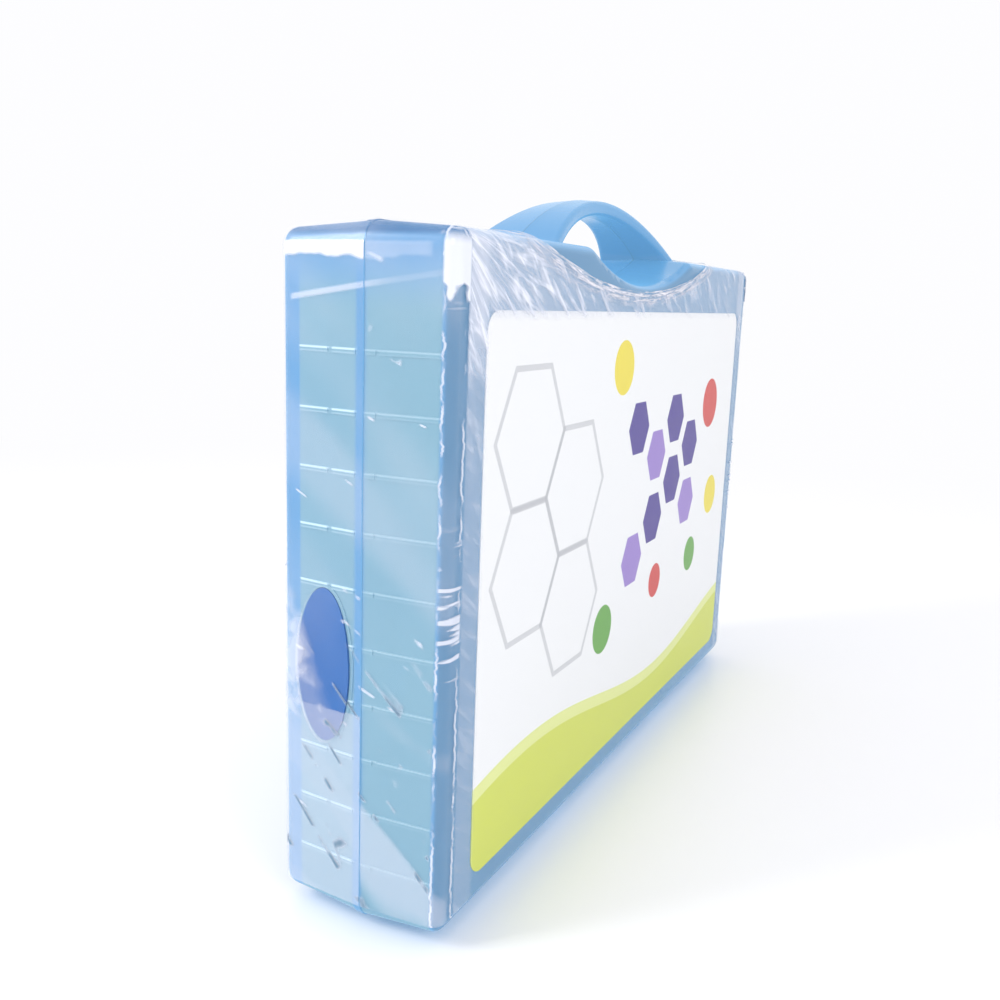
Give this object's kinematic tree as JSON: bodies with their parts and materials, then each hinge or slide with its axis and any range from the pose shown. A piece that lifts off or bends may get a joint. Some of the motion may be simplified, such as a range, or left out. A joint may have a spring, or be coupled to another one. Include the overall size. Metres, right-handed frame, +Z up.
{
  "type": "chemistry set case",
  "caption": "Flat carry case in two hinged plastic halves with a moulded strap handle, oval side latch buttons, pocketed trays and a film wrap.",
  "frame": {"origin": "on the floor under the middle of the standing case, at the bottom centre of its bounding box", "axes": "+Z up towards the handle, X along the case's width, and the labelled front faces -Y"},
  "size_m": [0.4488, 0.085, 0.3339],
  "materials": {
    "case_blue": "translucent sky blue, satin",
    "button_blue": "opaque royal blue, satin",
    "film_clear": "clear shrink film, glossy",
    "label_print": "printed sheet, satin",
    "tray_white": "opaque white, matt",
    "steel": "plain steel",
    "rivet_white": "opaque white, matt",
    "bracket_grey": "opaque grey, matt"
  },
  "bodies": {
    "case": {"back_shell": "case_blue", "film_back": "film_clear", "back_tray_left": "tray_white", "back_tray_right": "tray_white", "tray_rivets_back": "rivet_white", "hinge_pin_left": "steel", "hinge_pin_right": "steel", "latch_spring_left": "steel", "latch_spring_right": "steel", "latch_bracket_left": "bracket_grey", "latch_bracket_right": "bracket_grey", "latch_screws_left": "steel", "latch_screws_right": "steel"},
    "lid": {"front_shell": "case_blue", "front_label": "label_print", "film_front": "film_clear", "front_tray": "tray_white", "tray_rivets_front": "rivet_white"},
    "button_left": {"latch_button_left": "button_blue"},
    "button_right": {"latch_button_right": "button_blue"}
  },
  "joints": [
    {"name": "lid_hinge", "type": "hinge", "parent": "case", "child": "lid", "pos_m": [0, -0.0032, 0.0018], "axis": [1, 0, 0], "range_deg": [0, 180]},
    {"name": "button_left_press", "type": "slide", "parent": "case", "child": "button_left", "axis": [1, 0, 0], "range_m": [0, 0.0025], "stiffness_N_per_m": 400, "springref_m": -0.002, "deforming": ["latch_spring_left"]},
    {"name": "button_right_press", "type": "slide", "parent": "case", "child": "button_right", "axis": [-1, 0, 0], "range_m": [0, 0.0025], "stiffness_N_per_m": 400, "springref_m": -0.002, "deforming": ["latch_spring_right"]}
  ]
}
